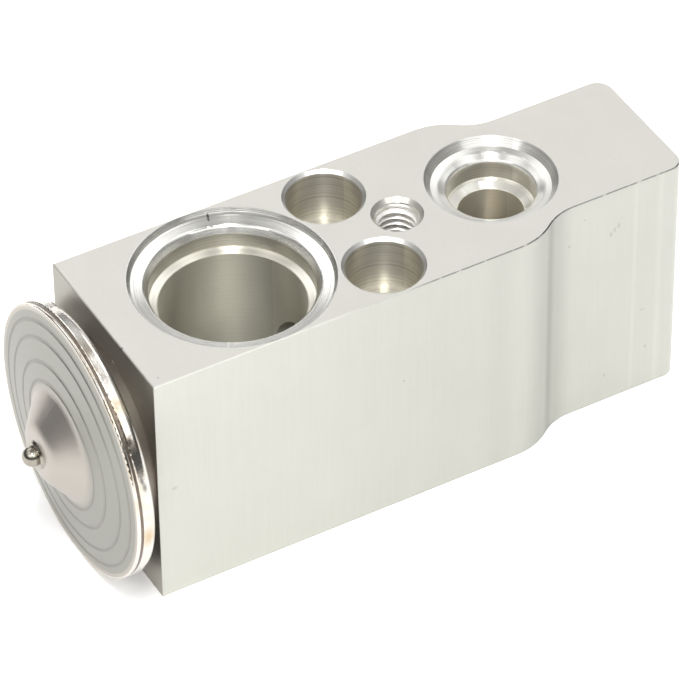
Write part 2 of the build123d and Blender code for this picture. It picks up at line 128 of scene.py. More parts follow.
# Each tool's reach: a point on its axis in mm, its axis, radius, middle and half of its length,
# then the colour, the roughness and the depth of tool marks in micrometres that it leaves. The
# later cut in the list is the one that shows. The stem's line is the height of its bore.
stem_line = 19.3
cuts = (
    ("head bore", (0, 0, stem_line), "X", 12.3, -33.0, 4.4, "#D9D5C8", 0.30, 6),
    ("screw bore", (0, 0, stem_line), "X", 7.66, 19.0, 26.0, "#D9D5C8", 0.30, 6),
    ("outlet", (9.25, 0, 0), "Z", 7.0, 10.9, 11.0, "#DEDACD", 0.30, 6),
    ("suction bore", (-18.2, 0, 0), "Z", 11.95, 16.2, 16.35, "#E4E2D5", 0.42, 3),
    ("suction pocket", (-18.2, 0, 0), "Z", 13.9, 35.0, 2.45, "#EBE8DD", 0.32, 19),
    ("suction seat", (-18.2, 0, 0), "Z", 13.9, 36.3, 1.2, "#F3F2ED", 0.24, 30),
    ("liquid bore", (21.0, 0, 0), "Z", 4.6, 21.0, 11.4, "#F4F0E2", 0.39, 3),
    ("liquid pocket", (21.0, 0, 0), "Z", 9.05, 34.8, 2.6, "#EBE8DD", 0.34, 18),
    ("liquid seat", (21.0, 0, 0), "Z", 9.05, 36.2, 1.3, "#F3F2ED", 0.3, 26),
    ("bolt counterbore", (0, 8, 0), "Z", 5.7, 18.6, 18.7, "#E8E4D8", 0.4, 26),
    ("bolt counterbore", (0, -8, 0), "Z", 5.7, 18.6, 18.7, "#E8E4D8", 0.4, 26),
    ("bolt rim", (0, 8, 0), "Z", 5.7, 37.0, 0.26, "#F5F4EF", 0.3, 6),
    ("bolt rim", (0, -8, 0), "Z", 5.7, 37.0, 0.26, "#F5F4EF", 0.3, 6),
    ("flange thread", (6.6, 0, 0), "Z", 3.62, 30.0, 7.3, "#E8E6DE", 0.3, 10),
)
tooled = None
profile_run = None
for _, point, axis, reach, middle, half, cut_colour, cut_gloss, cut_depth in cuts:
    off = add_node(
        block, "ShaderNodeVectorMath", {"operation": "SUBTRACT", 1: point}, {0: at_mm.outputs[0]}
    )
    across_mask = (0, 1, 1) if axis == "X" else (1, 1, 0)
    across = add_node(
        block, "ShaderNodeVectorMath", {"operation": "MULTIPLY", 1: across_mask}, {0: off.outputs[0]}
    )
    radius = add_node(block, "ShaderNodeVectorMath", {"operation": "LENGTH"}, {0: across.outputs[0]})
    near = add_node(
        block, "ShaderNodeMath", {"operation": "LESS_THAN", 1: reach}, {0: radius.outputs["Value"]}
    )
    level = add_node(
        block, "ShaderNodeMath", {"operation": "COMPARE", 1: middle, 2: half}, {0: place.outputs[axis]}
    )
    cut = add_node(
        block, "ShaderNodeMath", {"operation": "MULTIPLY"}, {0: near.outputs[0], 1: level.outputs[0]}
    ).outputs[0]
    axis_vector = (1, 0, 0) if axis == "X" else (0, 0, 1)
    round_way = add_node(
        block, "ShaderNodeVectorMath", {"operation": "CROSS_PRODUCT", 0: axis_vector},
        {1: across.outputs[0]},
    )
    run = add_node(
        block, "ShaderNodeMath", {"operation": "ADD"},
        {0: radius.outputs["Value"], 1: place.outputs[axis]},
    )
    colour = add_node(
        block, "ShaderNodeMix", {"data_type": "RGBA", 7: linear(cut_colour)}, {0: cut, 6: colour}
    ).outputs[2]
    gloss = add_node(
        block, "ShaderNodeMix", {"data_type": "FLOAT", 3: cut_gloss}, {0: cut, 2: gloss}
    ).outputs[0]
    depth = add_node(
        block, "ShaderNodeMix", {"data_type": "FLOAT", 3: cut_depth}, {0: cut, 2: depth}
    ).outputs[0]
    grain = add_node(
        block, "ShaderNodeMix", {"data_type": "VECTOR"}, {0: cut, 4: grain, 5: round_way.outputs[0]}
    ).outputs[1]
    if tooled is None:
        tooled = cut
        profile_run = run.outputs[0]
    else:
        tooled = add_node(
            block, "ShaderNodeMath", {"operation": "MAXIMUM"}, {0: tooled, 1: cut}
        ).outputs[0]
        profile_run = add_node(
            block, "ShaderNodeMix", {"data_type": "FLOAT"}, {0: cut, 2: profile_run, 3: run.outputs[0]}
        ).outputs[0]

# Tool rings about 0.3 mm apart, some deeper than others, and coarser than a real feed mark so that
# they show; die streaks 0.4 mm wide and 12 mm long on the sides; specks of 0.3 mm on the faces.
rings = add_node(
    block, "ShaderNodeTexNoise",
    {"noise_dimensions": "1D", "Scale": 3.2, "Detail": 2.0, "Roughness": 0.6}, {"W": profile_run},
)
stretch = add_node(
    block, "ShaderNodeVectorMath", {"operation": "MULTIPLY", 1: (1.0, 1.0, 0.035)},
    {0: at_mm.outputs[0]},
)
streaks = add_node(
    block, "ShaderNodeTexNoise", {"Scale": 2.4, "Detail": 3.0, "Roughness": 0.65},
    {"Vector": stretch.outputs[0]},
)
pores = add_node(
    block, "ShaderNodeTexNoise", {"Scale": 3.0, "Detail": 3.0, "Roughness": 0.7},
    {"Vector": at_mm.outputs[0]},
)
side_relief = add_node(
    block, "ShaderNodeMix", {"data_type": "FLOAT"},
    {0: flat.outputs[0], 2: streaks.outputs["Fac"], 3: pores.outputs["Fac"]},
)
relief = add_node(
    block, "ShaderNodeMix", {"data_type": "FLOAT"},
    {0: tooled, 2: side_relief.outputs[0], 3: rings.outputs["Fac"]},
)
height = add_node(block, "ShaderNodeMath", {"operation": "MULTIPLY"}, {0: relief.outputs[0], 1: depth})
bump = add_node(
    block, "ShaderNodeBump", {"Strength": 1.0, "Distance": 0.000001}, {"Height": height.outputs[0]}
)

# Painted shade in the deeper tool rings: they are grey at their bottom, the more so the deeper the tool's
# marks are.
ring_foot = add_node(
    block, "ShaderNodeMapRange", {1: 0.38, 2: 0.47, 3: 0.008, 4: 0.0}, {0: rings.outputs["Fac"]}
)
ring_shade = add_node(
    block, "ShaderNodeMath", {"operation": "MULTIPLY"}, {0: ring_foot.outputs[0], 1: depth}
)
ring_cut = add_node(
    block, "ShaderNodeMath", {"operation": "MULTIPLY"}, {0: ring_shade.outputs[0], 1: tooled}
)
painted_ring_shade = add_node(
    block, "ShaderNodeMath", {"operation": "SUBTRACT", 0: 1.0}, {1: ring_cut.outputs[0]}
)

# Handling leaves the block a little cloudy, in patches of about 10 mm. Its drawn sides carry painted shade,
# which deepens from the head's end to just past the bolts.
clouds = add_node(
    block, "ShaderNodeTexNoise", {"Scale": 0.11, "Detail": 4.0, "Roughness": 0.6},
    {"Vector": at_mm.outputs[0]},
)
cloud_tone = add_node(
    block, "ShaderNodeMapRange", {1: 0.3, 2: 0.7, 3: 0.97, 4: 1.0}, {0: clouds.outputs["Fac"]}
)
# Painted shade on the drawn sides, deepening from the head's end towards the bolts.
painted_side_shade = add_node(
    block, "ShaderNodeMapRange", {1: -37.0, 2: 5.0, 3: 1.0, 4: 0.875}, {0: place.outputs["X"]}
)
painted_side_shade_share = add_node(
    block, "ShaderNodeMath", {"operation": "MAXIMUM"}, {0: painted_side_shade.outputs[0], 1: flat.outputs[0]}
)
streak_tone = add_node(
    block, "ShaderNodeMapRange", {1: 0.3, 2: 0.7, 3: 0.985, 4: 1.01}, {0: relief.outputs[0]}
)
tone = add_node(
    block, "ShaderNodeMath", {"operation": "MULTIPLY"},
    {0: cloud_tone.outputs[0], 1: streak_tone.outputs[0]},
)
tone = add_node(
    block, "ShaderNodeMath", {"operation": "MULTIPLY"}, {0: tone.outputs[0], 1: painted_side_shade_share.outputs[0]}
)
tone = add_node(
    block, "ShaderNodeMath", {"operation": "MULTIPLY"}, {0: tone.outputs[0], 1: painted_ring_shade.outputs[0]}
)
colour = add_node(
    block, "ShaderNodeVectorMath", {"operation": "SCALE"}, {0: colour, "Scale": tone.outputs[0]}
).outputs[0]

# Upright lines and soft shades on the drawn sides only: where they lie along x, their half width in mm and
# the share of light they keep. The two light lines brighten narrow bands of the neck; the soft shades and
# the dark line in the waist are painted shade, for the dim room that the curve of the shoulder and waist
# mirrors.
shut = add_node(block, "ShaderNodeMath", {"operation": "MAXIMUM"}, {0: tooled, 1: flat.outputs[0]})
side_lines_and_painted_shades = (
    ("soft shade before the shoulder", 14.2, 3.2, 0.96),
    ("soft shade of the shoulder", 21.9, 4.4, 0.83),
    ("painted shade line in the waist", 23.2, 1.2, 0.82),
    ("soft shade of the waist", 25.0, 2.9, 0.87),
    ("light line on the neck", 37.3, 0.5, 1.05),
    ("light line by the corner", 41.2, 0.8, 1.05),
)
for _, line_x, half_width, kept in side_lines_and_painted_shades:
    line_off = add_node(
        block, "ShaderNodeMath", {"operation": "SUBTRACT", 1: line_x}, {0: place.outputs["X"]}
    )
    line_far = add_node(block, "ShaderNodeMath", {"operation": "ABSOLUTE"}, {0: line_off.outputs[0]})
    line_keep = add_node(
        block, "ShaderNodeMapRange",
        {"interpolation_type": "SMOOTHSTEP", 1: 0.0, 2: half_width, 3: kept, 4: 1.0},
        {0: line_far.outputs[0]},
    )
    drawn_keep = add_node(
        block, "ShaderNodeMix", {"data_type": "FLOAT", 3: 1.0},
        {0: shut.outputs[0], 2: line_keep.outputs[0]},
    )
    colour = add_node(
        block, "ShaderNodeVectorMath", {"operation": "SCALE"},
        {0: colour, "Scale": drawn_keep.outputs[0]},
    ).outputs[0]

# Small marks of handling: a point in mm, its half sizes in mm, and the share of light it keeps,
# which is above 1 for the painted glint on a nick.
marks = (
    ("nick in the seal seat", (-14.8, 12.9, 36.4), (0.16, 0.3, 1.0), 0.1),
    ("nick in the seal seat", (-15.0, 12.4, 36.4), (0.13, 0.3, 1.0), 0.2),
    ("smudge on the front", (-34.8, -14.0, 18.6), (0.5, 0.4, 0.35), 0.86),
    ("scratch on the neck", (33.4, -10.5, 29.8), (0.22, 0.3, 0.5), 0.8),
    ("scratch on the neck", (34.0, -10.5, 30.4), (0.2, 0.3, 0.5), 0.82),
    ("scratch on the neck", (34.6, -10.5, 30.9), (0.22, 0.3, 0.5), 0.8),
    ("speck on the neck", (26.9, -10.5, 30.5), (0.2, 0.3, 0.2), 0.75),
    ("speck on the neck", (29.2, -10.5, 34.1), (0.2, 0.3, 0.2), 0.8),
    ("dash on the neck", (38.8, -10.5, 14.1), (0.4, 0.3, 0.14), 0.8),
    ("speck on the neck", (39.5, -10.5, 7.1), (0.2, 0.3, 0.3), 0.8),
    ("scratch on the neck", (33.0, -10.5, 4.7), (0.2, 0.3, 0.4), 0.84),
    ("speck on the front", (-0.5, -14.0, 21.7), (0.22, 0.2, 0.2), 0.8),
    ("dent of the shoulder", (22.6, -12.0, 30.8), (0.16, 0.3, 0.16), 0.6),
    ("burr on the end's edge", (-37.2, -5.2, 37.1), (0.3, 0.22, 0.35), 0.5),
    # A painted glint on a nick in the end.
    ("painted glint on a nick in the end", (-37.2, -2.6, 32.8), (0.4, 0.35, 0.35), 1.6),
    ("speck on the pipe face", (-35.8, -12.5, 37.2), (0.2, 0.2, 0.2), 0.8),
)
for _, point, half_size, kept in marks:
    away = add_node(
        block, "ShaderNodeVectorMath", {"operation": "SUBTRACT", 1: point}, {0: at_mm.outputs[0]}
    )
    scaled = add_node(
        block, "ShaderNodeVectorMath", {"operation": "DIVIDE", 1: half_size}, {0: away.outputs[0]}
    )
    mark_reach = add_node(
        block, "ShaderNodeVectorMath", {"operation": "LENGTH"}, {0: scaled.outputs[0]}
    )
    keep = add_node(
        block, "ShaderNodeMapRange", {1: 0.6, 2: 1.1, 3: kept, 4: 1.0}, {0: mark_reach.outputs["Value"]}
    )
    colour = add_node(
        block, "ShaderNodeVectorMath", {"operation": "SCALE"}, {0: colour, "Scale": keep.outputs[0]}
    ).outputs[0]

# Where the facing cutter left the sides' top edges: a painted highlight on the edge break at the head's
# end, and a thin dark burr in dashes towards the screw's end, 0.1 mm high under the pipe face.
edge_middle = 37.15
edge_half = 0.08
top_edge = add_node(
    block, "ShaderNodeMath", {"operation": "COMPARE", 1: edge_middle, 2: edge_half},
    {0: place.outputs["Z"]},
)
edge_band = add_node(
    block, "ShaderNodeMath", {"operation": "SUBTRACT", "use_clamp": True},
    {0: top_edge.outputs[0], 1: shut.outputs[0]},
)
# Painted highlight on the edge break near the head's end.
painted_edge_highlight = add_node(
    block, "ShaderNodeMapRange", {1: -10.0, 2: -6.0, 3: 1.2, 4: 1.0}, {0: place.outputs["X"]}
)
burr_start = add_node(
    block, "ShaderNodeMapRange", {1: 0.0, 2: 4.0, 3: 0.0, 4: 0.5}, {0: place.outputs["X"]}
)
dashes = add_node(
    block, "ShaderNodeTexNoise", {"noise_dimensions": "1D", "Scale": 0.7, "Detail": 2.0},
    {"W": place.outputs["X"]},
)
dash_share = add_node(block, "ShaderNodeMapRange", {1: 0.3, 2: 0.46}, {0: dashes.outputs["Fac"]})
burr = add_node(
    block, "ShaderNodeMath", {"operation": "MULTIPLY"},
    {0: burr_start.outputs[0], 1: dash_share.outputs[0]},
)
edge_highlight_and_burr = add_node(
    block, "ShaderNodeMath", {"operation": "SUBTRACT"}, {0: painted_edge_highlight.outputs[0], 1: burr.outputs[0]}
)
edge_keep = add_node(
    block, "ShaderNodeMix", {"data_type": "FLOAT", 2: 1.0},
    {0: edge_band.outputs[0], 3: edge_highlight_and_burr.outputs[0]},
)
colour = add_node(
    block, "ShaderNodeVectorMath", {"operation": "SCALE"}, {0: colour, "Scale": edge_keep.outputs[0]}
).outputs[0]
tree.links.new(colour, block_shader.inputs["Base Color"])
tree.links.new(gloss, block_shader.inputs["Roughness"])
tree.links.new(grain, block_shader.inputs["Tangent"])
tree.links.new(bump.outputs[0], block_shader.inputs["Normal"])
dress(block, "valve_body")


# Thread of the flange screw
# An M6 thread tapped in the same aluminium, between the two bolt holes. Its crests are bright
# and slightly torn.


def thread_form(turns, crest, root):
    """Depth of a thread, 0 on its crest and 1 on its root: with p the distance in turns from the
    crest's middle, (|p| - crest / 2) / ((1 - crest - root) / 2), held between 0 and 1."""
    p = np.abs((turns + 0.5) % 1.0 - 0.5)
    return np.clip((p - crest / 2) / ((1 - crest - root) / 2), 0, 1)


def turned_piece(name, along, radius, middle, axis, body, finish):
    """A closed turned surface, in mm: row i lies at along[i] on the axis, and its point j at
    radius[i, j] from the axis and at the angle 2 pi j / n. The last row joins the first unless both
    are poles. Points closer than merge_within metres are one, and edges over sharp_over degrees are
    sharp."""
    merge_within = 1e-8
    sharp_over = 38
    count = radius.shape[1]
    angle = np.linspace(0, 2 * np.pi, count, endpoint=False)
    u = radius * np.cos(angle)
    v = radius * np.sin(angle)
    w = np.broadcast_to(np.asarray(along, dtype=float)[:, None], radius.shape)
    order = (w, u, v) if axis == "X" else (u, v, w)
    points = np.stack(order, axis=-1).reshape(-1, 3) + np.array(middle)
    ring = np.arange(count)
    loops = bool(radius[0].max() > 0)
    last = len(along) if loops else len(along) - 1
    start = (np.arange(last) * count)[:, None]
    after = ((np.arange(last) + 1) % len(along) * count)[:, None]
    beside = (ring + 1) % count
    faces = np.stack((start + ring, start + beside, after + beside, after + ring), axis=-1)
    mesh = bpy.data.meshes.new(name)
    mesh.from_pydata((points / 1000).tolist(), [], faces.reshape(-1, 4).tolist())
    shell = bmesh.new()
    shell.from_mesh(mesh)
    bmesh.ops.remove_doubles(shell, verts=shell.verts, dist=merge_within)
    bmesh.ops.recalc_face_normals(shell, faces=shell.faces)
    shell.to_mesh(mesh)
    shell.free()
    mesh.shade_smooth()
    mesh.set_sharp_from_angle(angle=np.radians(sharp_over))
    mesh.materials.append(finish)
    piece = bpy.data.objects.new(name, mesh)
    bpy.context.scene.collection.objects.link(piece)
    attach(piece, body)
    return piece


# Tapped aluminium: bright, with torn specks about 0.2 mm across where the tap cut it.
tapped, tapped_shader = new_finish(
    "tapped_aluminium", Metallic=1.0, Base_Color=linear("#F5F3EE"), Roughness=0.36
)
tap_place = add_node(tapped, "ShaderNodeTexCoord")
tap_tears = add_node(
    tapped, "ShaderNodeTexNoise", {"Scale": 5000.0, "Detail": 2.0},
    {"Vector": tap_place.outputs["Object"]},
)
tap_bump = add_node(
    tapped, "ShaderNodeBump", {"Strength": 1.0, "Distance": 0.00001},
    {"Height": tap_tears.outputs["Fac"]},
)
tapped.node_tree.links.new(tap_bump.outputs[0], tapped_shader.inputs["Normal"])

# M6, in mm: it runs out over the last turns at both ends, starts just clear of the hole's wall, and
# its closed back lies in the metal behind that wall.
tap_pitch = 1.0
tap_major = 3.0
tap_height = 0.5413 * tap_pitch
tap_crest = 0.25
tap_root = 0.125
tap_from = 26.4
tap_to = 36.55
tap_top_fade = 0.9 * tap_pitch
tap_clear = 0.001
tap_back = 0.04
tap_around = 96
rows_a_turn = 18
rows = np.arange(tap_from, tap_to, tap_pitch / rows_a_turn)
turn = np.linspace(0, 1, tap_around, endpoint=False)
fade = np.clip((tap_to - rows) / tap_top_fade, 0, 1) * np.clip((rows - tap_from) / tap_pitch, 0, 1)
crests = 1 - thread_form(rows[:, None] / tap_pitch - turn, tap_crest, tap_root)
inner = tap_major - tap_height * crests * fade[:, None]
inner[0] = tap_major - tap_clear
outer = np.full((2, tap_around), tap_major + tap_back)
turned_piece(
    "flange_screw_thread",
    np.concatenate((rows, [rows[-1], rows[0]])),
    np.concatenate((inner, outer)),
    (6.6, 0, 0), "Z", "housing", tapped,
)


# Power head
# Two stainless shells welded round the rim with the diaphragm between them. The cover is stamped,
# with faint rings and a drawn cone. The welding fixture rolled the rim bright and left straw-coloured
# heat tint and a few dark spots near the seam.

# Stamped stainless steel: satin on the face, with painted shade in the rings that the die pressed,
# bright on the rim. Its parts are told apart by their radius from the stem's line in mm.
shell, shell_shader = new_finish("stamped_stainless", Metallic=1.0)
head_place = add_node(shell, "ShaderNodeTexCoord")
head_mm = add_node(
    shell, "ShaderNodeVectorMath", {"operation": "SCALE", "Scale": 1000.0},
    {0: head_place.outputs["Object"]},
)
head_off = add_node(
    shell, "ShaderNodeVectorMath", {"operation": "SUBTRACT", 1: (0, 0, stem_line)},
    {0: head_mm.outputs[0]},
)
head_across = add_node(
    shell, "ShaderNodeVectorMath", {"operation": "MULTIPLY", 1: (0, 1, 1)}, {0: head_off.outputs[0]}
)
head_radius = add_node(
    shell, "ShaderNodeVectorMath", {"operation": "LENGTH"}, {0: head_across.outputs[0]}
)
on_rim = add_node(
    shell, "ShaderNodeMapRange", {1: 18.8, 2: 19.0}, {0: head_radius.outputs["Value"]}
)
on_lip = add_node(
    shell, "ShaderNodeMapRange", {1: 18.3, 2: 18.45}, {0: head_radius.outputs["Value"]}
)
on_cone = add_node(
    shell, "ShaderNodeMapRange", {1: 9.0, 2: 7.6}, {0: head_radius.outputs["Value"]}
)
face_colour = add_node(
    shell, "ShaderNodeMix", {"data_type": "RGBA", 6: linear("#A09F98"), 7: linear("#BAB4AC")},
    {0: on_cone.outputs[0]},
).outputs[2]
# Painted shade: grey lines in the pressed rings and round the cone's foot, soft over a third of a
# millimetre.
for ring_radius in (17.2, 14.9, 11.65, 9.0):
    ring_off = add_node(
        shell, "ShaderNodeMath", {"operation": "SUBTRACT", 1: ring_radius},
        {0: head_radius.outputs["Value"]},
    )
    ring_far = add_node(shell, "ShaderNodeMath", {"operation": "ABSOLUTE"}, {0: ring_off.outputs[0]})
    ring_painted_shade = add_node(
        shell, "ShaderNodeMapRange", {"interpolation_type": "SMOOTHSTEP", 1: 0.04, 2: 0.34, 3: 0.8, 4: 0.0},
        {0: ring_far.outputs[0]},
    )
    face_colour = add_node(
        shell, "ShaderNodeMix", {"data_type": "RGBA", 7: linear("#908E87")},
        {0: ring_painted_shade.outputs[0], 6: face_colour},
    ).outputs[2]
face_colour = add_node(
    shell, "ShaderNodeMix", {"data_type": "RGBA", 7: linear("#BAB4AB")},
    {0: on_lip.outputs[0], 6: face_colour},
).outputs[2]
# Heat tint on the rim in patches of about 6 mm, and soot specks of about 1 mm.
tint_noise = add_node(
    shell, "ShaderNodeTexNoise", {"Scale": 0.16, "Detail": 3.0, "Roughness": 0.5},
    {"Vector": head_mm.outputs[0]},
)
tint_share = add_node(
    shell, "ShaderNodeMapRange", {1: 0.5, 2: 0.68, 3: 0.0, 4: 0.8}, {0: tint_noise.outputs["Fac"]}
)
rim_colour = add_node(
    shell, "ShaderNodeMix", {"data_type": "RGBA", 6: linear("#E4E0D9"), 7: linear("#D2BE9C")},
    {0: tint_share.outputs[0]},
).outputs[2]
soot_noise = add_node(
    shell, "ShaderNodeTexNoise", {"Scale": 0.9, "Detail": 4.0, "Roughness": 0.7},
    {"Vector": head_mm.outputs[0]},
)
soot_share = add_node(
    shell, "ShaderNodeMapRange", {1: 0.66, 2: 0.74, 3: 0.0, 4: 0.75}, {0: soot_noise.outputs["Fac"]}
)
rim_colour = add_node(
    shell, "ShaderNodeMix", {"data_type": "RGBA", 7: linear("#4A443E")},
    {0: soot_share.outputs[0], 6: rim_colour},
).outputs[2]

# Spots on the rim: a point in mm, its half sizes in mm, its colour and how much of it shows.
spots = (
    ("straw tint", (-41.4, -19.2, 17.0), (1.1, 0.9, 2.4), "#C9A35F", 0.5),
    ("dark spot", (-41.6, -15.2, 31.0), (0.4, 0.5, 0.7), "#3C3834", 0.7),
    ("dark spot", (-41.4, -17.9, 26.2), (0.3, 0.4, 0.9), "#3C3834", 0.7),
    ("dark spot", (-41.2, -18.2, 25.2), (0.4, 0.4, 1.0), "#2F2C2A", 0.6),
)
for _, point, half_size, spot_colour, share in spots:
    spot_off = add_node(
        shell, "ShaderNodeVectorMath", {"operation": "SUBTRACT", 1: point}, {0: head_mm.outputs[0]}
    )
    spot_scaled = add_node(
        shell, "ShaderNodeVectorMath", {"operation": "DIVIDE", 1: half_size}, {0: spot_off.outputs[0]}
    )
    spot_reach = add_node(
        shell, "ShaderNodeVectorMath", {"operation": "LENGTH"}, {0: spot_scaled.outputs[0]}
    )
    spot_share = add_node(
        shell, "ShaderNodeMapRange", {1: 0.3, 2: 1.1, 3: share, 4: 0.0},
        {0: spot_reach.outputs["Value"]},
    )
    rim_colour = add_node(
        shell, "ShaderNodeMix", {"data_type": "RGBA", 7: linear(spot_colour)},
        {0: spot_share.outputs[0], 6: rim_colour},
    ).outputs[2]
shell_colour = add_node(
    shell, "ShaderNodeMix", {"data_type": "RGBA"}, {0: on_rim.outputs[0], 6: face_colour, 7: rim_colour}
).outputs[2]

# Behind the flange, towards the block, the steel is painted dark as the shade in the gap to the block, and
# is dull.
head_along = add_node(shell, "ShaderNodeSeparateXYZ", links={0: head_mm.outputs[0]})
painted_shade_behind = add_node(shell, "ShaderNodeMapRange", {1: -40.4, 2: -40.1}, {0: head_along.outputs["X"]})
shell_colour = add_node(
    shell, "ShaderNodeMix", {"data_type": "RGBA", 7: linear("#8A8278")},
    {0: painted_shade_behind.outputs[0], 6: shell_colour},
).outputs[2]
face_gloss = add_node(
    shell, "ShaderNodeMix", {"data_type": "FLOAT", 2: 0.42, 3: 0.4}, {0: on_cone.outputs[0]}
).outputs[0]
shell_gloss = add_node(
    shell, "ShaderNodeMix", {"data_type": "FLOAT", 3: 0.2}, {0: on_rim.outputs[0], 2: face_gloss}
).outputs[0]
shell_gloss = add_node(
    shell, "ShaderNodeMix", {"data_type": "FLOAT", 3: 0.5}, {0: painted_shade_behind.outputs[0], 2: shell_gloss}
).outputs[0]

# Orange peel of the stamping and the uneven roll of the rim, about 1 mm across.
peel = add_node(
    shell, "ShaderNodeTexNoise", {"Scale": 1.1, "Detail": 3.0, "Roughness": 0.55},
    {"Vector": head_mm.outputs[0]},
)
shell_bump = add_node(
    shell, "ShaderNodeBump", {"Strength": 1.0, "Distance": 0.00002}, {"Height": peel.outputs["Fac"]}
)
shell.node_tree.links.new(shell_colour, shell_shader.inputs["Base Color"])
shell.node_tree.links.new(shell_gloss, shell_shader.inputs["Roughness"])
shell.node_tree.links.new(shell_bump.outputs[0], shell_shader.inputs["Normal"])
dress(shell, "head_cover", "head_base")

# Heat-tinted weld steel: the narrow seam is brown from the heat, in patches of 1 to 2 mm and ripples
# 0.5 mm apart.
seam, seam_shader = new_finish("heat_tinted_weld", Metallic=1.0, Roughness=0.35)
seam_place = add_node(seam, "ShaderNodeTexCoord")
seam_mm = add_node(
    seam, "ShaderNodeVectorMath", {"operation": "SCALE", "Scale": 1000.0},
    {0: seam_place.outputs["Object"]},
)
seam_noise = add_node(
    seam, "ShaderNodeTexNoise", {"Scale": 0.6, "Detail": 3.0}, {"Vector": seam_mm.outputs[0]}
)
seam_colour = add_node(
    seam, "ShaderNodeMix", {"data_type": "RGBA", 6: linear("#6A6058"), 7: linear("#93867A")},
    {0: seam_noise.outputs["Fac"]},
)
seam_ripple = add_node(
    seam, "ShaderNodeTexNoise", {"Scale": 2.0, "Detail": 1.0}, {"Vector": seam_mm.outputs[0]}
)
seam_bump = add_node(
    seam, "ShaderNodeBump", {"Strength": 1.0, "Distance": 0.0001},
    {"Height": seam_ripple.outputs["Fac"]},
)
seam.node_tree.links.new(seam_colour.outputs[2], seam_shader.inputs["Base Color"])
seam.node_tree.links.new(seam_bump.outputs[0], seam_shader.inputs["Normal"])
dress(seam, "rim_weld")


# Charging ball, pin and valve ball
# The charging ball was resistance-welded into the cover's hole and closes it, with a collar round
# its foot. The pin passes from the rod to the valve ball, which meters the liquid at its seat.

# Hard steel, ground and polished, under a thin film of oil in patches of 1 to 2 mm.
polished, polished_shader = new_finish("polished_steel", Metallic=1.0, Roughness=0.24)
ball_place = add_node(polished, "ShaderNodeTexCoord")
ball_film = add_node(
    polished, "ShaderNodeTexNoise", {"Scale": 700.0, "Detail": 3.0},
    {"Vector": ball_place.outputs["Object"]},
)
ball_colour = add_node(
    polished, "ShaderNodeMix", {"data_type": "RGBA", 6: linear("#938E83"), 7: linear("#B4AFA4")},
    {0: ball_film.outputs["Fac"]},
)
polished.node_tree.links.new(ball_colour.outputs[2], polished_shader.inputs["Base Color"])
dress(polished, "charge_plug", "push_pin", "valve_ball")


# Springs, retainer and diaphragm
# The setting spring is coiled from wire. The damper spring, the seal's retainer and the diaphragm
# are pressed from rolled strip, and the diaphragm is clamped between the shells.

# Spring steel, drawn or rolled bright, with fine marks about half a millimetre apart.
sprung, sprung_shader = new_finish("spring_steel", Metallic=1.0, Roughness=0.3)
strip_place = add_node(sprung, "ShaderNodeTexCoord")
strip_film = add_node(
    sprung, "ShaderNodeTexNoise", {"Scale": 1800.0, "Detail": 3.0},
    {"Vector": strip_place.outputs["Object"]},
)
strip_colour = add_node(
    sprung, "ShaderNodeMix", {"data_type": "RGBA", 6: linear("#9C9A94"), 7: linear("#C4C2BC")},
    {0: strip_film.outputs["Fac"]},
)
strip_bump = add_node(
    sprung, "ShaderNodeBump", {"Strength": 1.0, "Distance": 0.000004},
    {"Height": strip_film.outputs["Fac"]},
)
sprung.node_tree.links.new(strip_colour.outputs[2], sprung_shader.inputs["Base Color"])
sprung.node_tree.links.new(strip_bump.outputs[0], sprung_shader.inputs["Normal"])
dress(sprung, "setting_spring", "damper_spring", "seal_retainer", "diaphragm")


# Sensing rod
# A rod turned from aluminium bar. It crosses the suction passage, brings the gas's warmth to the
# head and pushes the pin.

# Turned aluminium: rings 0.3 mm apart round the rod, which fan the light along it.
rod, rod_shader = new_finish(
    "turned_rod_aluminium", Metallic=1.0, Roughness=0.28, Anisotropic=0.8, Anisotropic_Rotation=0.25
)
rod_place = add_node(rod, "ShaderNodeTexCoord")
rod_spread = add_node(
    rod, "ShaderNodeVectorMath", {"operation": "MULTIPLY", 1: (3500.0, 90.0, 90.0)},
    {0: rod_place.outputs["Object"]},
)
rod_rings = add_node(
    rod, "ShaderNodeTexNoise", {"Scale": 1.0, "Detail": 2.0}, {"Vector": rod_spread.outputs[0]}
)
rod_off = add_node(
    rod, "ShaderNodeVectorMath", {"operation": "SUBTRACT", 1: (0, 0, stem_line / 1000)},
    {0: rod_place.outputs["Object"]},
)
rod_round = add_node(
    rod, "ShaderNodeVectorMath", {"operation": "CROSS_PRODUCT", 0: (1, 0, 0)}, {1: rod_off.outputs[0]}
)
rod_colour = add_node(
    rod, "ShaderNodeMix", {"data_type": "RGBA", 6: linear("#CFCBC0"), 7: linear("#E2DFD7")},
    {0: rod_rings.outputs["Fac"]},
)
rod_bump = add_node(
    rod, "ShaderNodeBump", {"Strength": 1.0, "Distance": 0.000006}, {"Height": rod_rings.outputs["Fac"]}
)
rod.node_tree.links.new(rod_colour.outputs[2], rod_shader.inputs["Base Color"])
rod.node_tree.links.new(rod_round.outputs[0], rod_shader.inputs["Tangent"])
rod.node_tree.links.new(rod_bump.outputs[0], rod_shader.inputs["Normal"])
dress(rod, "sensing_rod")


# Thrust pad and ball carrier
# The pad lies behind the diaphragm and passes its push to the rod. The carrier is a cup that holds
# the valve ball on the spring. Both are turned from brass bar.

